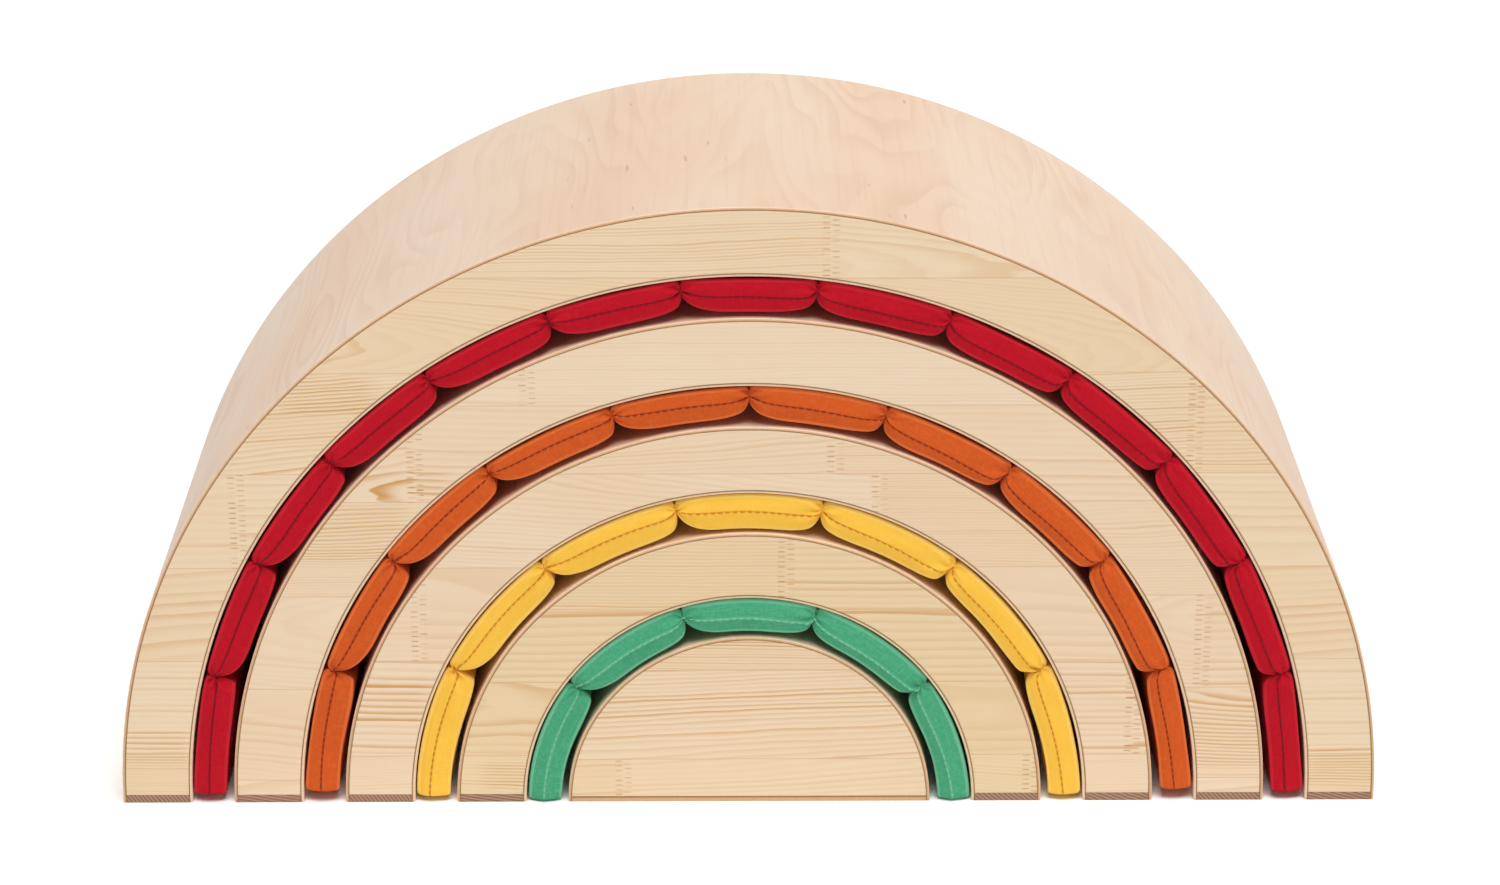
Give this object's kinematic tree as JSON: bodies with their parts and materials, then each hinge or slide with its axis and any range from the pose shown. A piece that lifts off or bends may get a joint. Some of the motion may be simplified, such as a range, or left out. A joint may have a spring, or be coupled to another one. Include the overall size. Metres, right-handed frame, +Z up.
{
  "type": "play arch set",
  "caption": "Nest of hollow plywood and pine arches around a half disc, with sewn padded mats curled in the gaps; each piece slides out for crawling, rocking and stacking.",
  "frame": {"origin": "on the floor in the middle of the nest, where the common axis of all the bends crosses mid-depth", "axes": "+X along the span, to the right as seen from the front; +Y from the front faces to the back faces; +Z up from the floor"},
  "size_m": [0.9, 0.32, 0.4498],
  "materials": {
    "pine": "clear matt lacquer",
    "birch": "clear matt lacquer",
    "foot_wood": "bare sawn hardwood",
    "red_canvas": "matt cotton canvas",
    "orange_canvas": "matt cotton canvas",
    "yellow_canvas": "matt cotton canvas",
    "green_canvas": "matt cotton canvas"
  },
  "bodies": {
    "outer_arch": {"outer_arch_outer_skin": "birch", "outer_arch_inner_skin": "birch", "outer_arch_front_panel": "pine", "outer_arch_back_panel": "pine", "outer_arch_left_foot": "foot_wood", "outer_arch_right_foot": "foot_wood", "outer_arch_left_rib": "pine", "outer_arch_crown_rib": "pine", "outer_arch_right_rib": "pine"},
    "second_arch": {"second_arch_outer_skin": "birch", "second_arch_inner_skin": "birch", "second_arch_front_panel": "pine", "second_arch_back_panel": "pine", "second_arch_left_foot": "foot_wood", "second_arch_right_foot": "foot_wood", "second_arch_left_rib": "pine", "second_arch_crown_rib": "pine", "second_arch_right_rib": "pine"},
    "third_arch": {"third_arch_outer_skin": "birch", "third_arch_inner_skin": "birch", "third_arch_front_panel": "pine", "third_arch_back_panel": "pine", "third_arch_left_foot": "foot_wood", "third_arch_right_foot": "foot_wood", "third_arch_left_rib": "pine", "third_arch_crown_rib": "pine", "third_arch_right_rib": "pine"},
    "inner_arch": {"inner_arch_outer_skin": "birch", "inner_arch_inner_skin": "birch", "inner_arch_front_panel": "pine", "inner_arch_back_panel": "pine", "inner_arch_left_foot": "foot_wood", "inner_arch_right_foot": "foot_wood", "inner_arch_left_rib": "pine", "inner_arch_crown_rib": "pine", "inner_arch_right_rib": "pine"},
    "half_disc": {"half_disc_rim": "birch", "half_disc_base": "birch", "half_disc_front_panel": "pine", "half_disc_back_panel": "pine", "half_disc_rib": "pine"},
    "red_mat": {"red_mat": "red_canvas"},
    "orange_mat": {"orange_mat": "orange_canvas"},
    "yellow_mat": {"yellow_mat": "yellow_canvas"},
    "green_mat": {"green_mat": "green_canvas"}
  },
  "joints": [
    {"name": "second_arch_slide", "type": "slide", "parent": "outer_arch", "child": "second_arch", "axis": [0, 1, 0], "range_m": [-0.4, 0.4]},
    {"name": "third_arch_slide", "type": "slide", "parent": "outer_arch", "child": "third_arch", "axis": [0, 1, 0], "range_m": [-0.4, 0.4]},
    {"name": "inner_arch_slide", "type": "slide", "parent": "outer_arch", "child": "inner_arch", "axis": [0, 1, 0], "range_m": [-0.4, 0.4]},
    {"name": "half_disc_slide", "type": "slide", "parent": "outer_arch", "child": "half_disc", "axis": [0, 1, 0], "range_m": [-0.4, 0.4]},
    {"name": "red_mat_slide", "type": "slide", "parent": "outer_arch", "child": "red_mat", "axis": [0, 1, 0], "range_m": [-0.4, 0.4]},
    {"name": "orange_mat_slide", "type": "slide", "parent": "second_arch", "child": "orange_mat", "axis": [0, 1, 0], "range_m": [-0.4, 0.4]},
    {"name": "yellow_mat_slide", "type": "slide", "parent": "third_arch", "child": "yellow_mat", "axis": [0, 1, 0], "range_m": [-0.4, 0.4]},
    {"name": "green_mat_slide", "type": "slide", "parent": "inner_arch", "child": "green_mat", "axis": [0, 1, 0], "range_m": [-0.4, 0.4]}
  ]
}
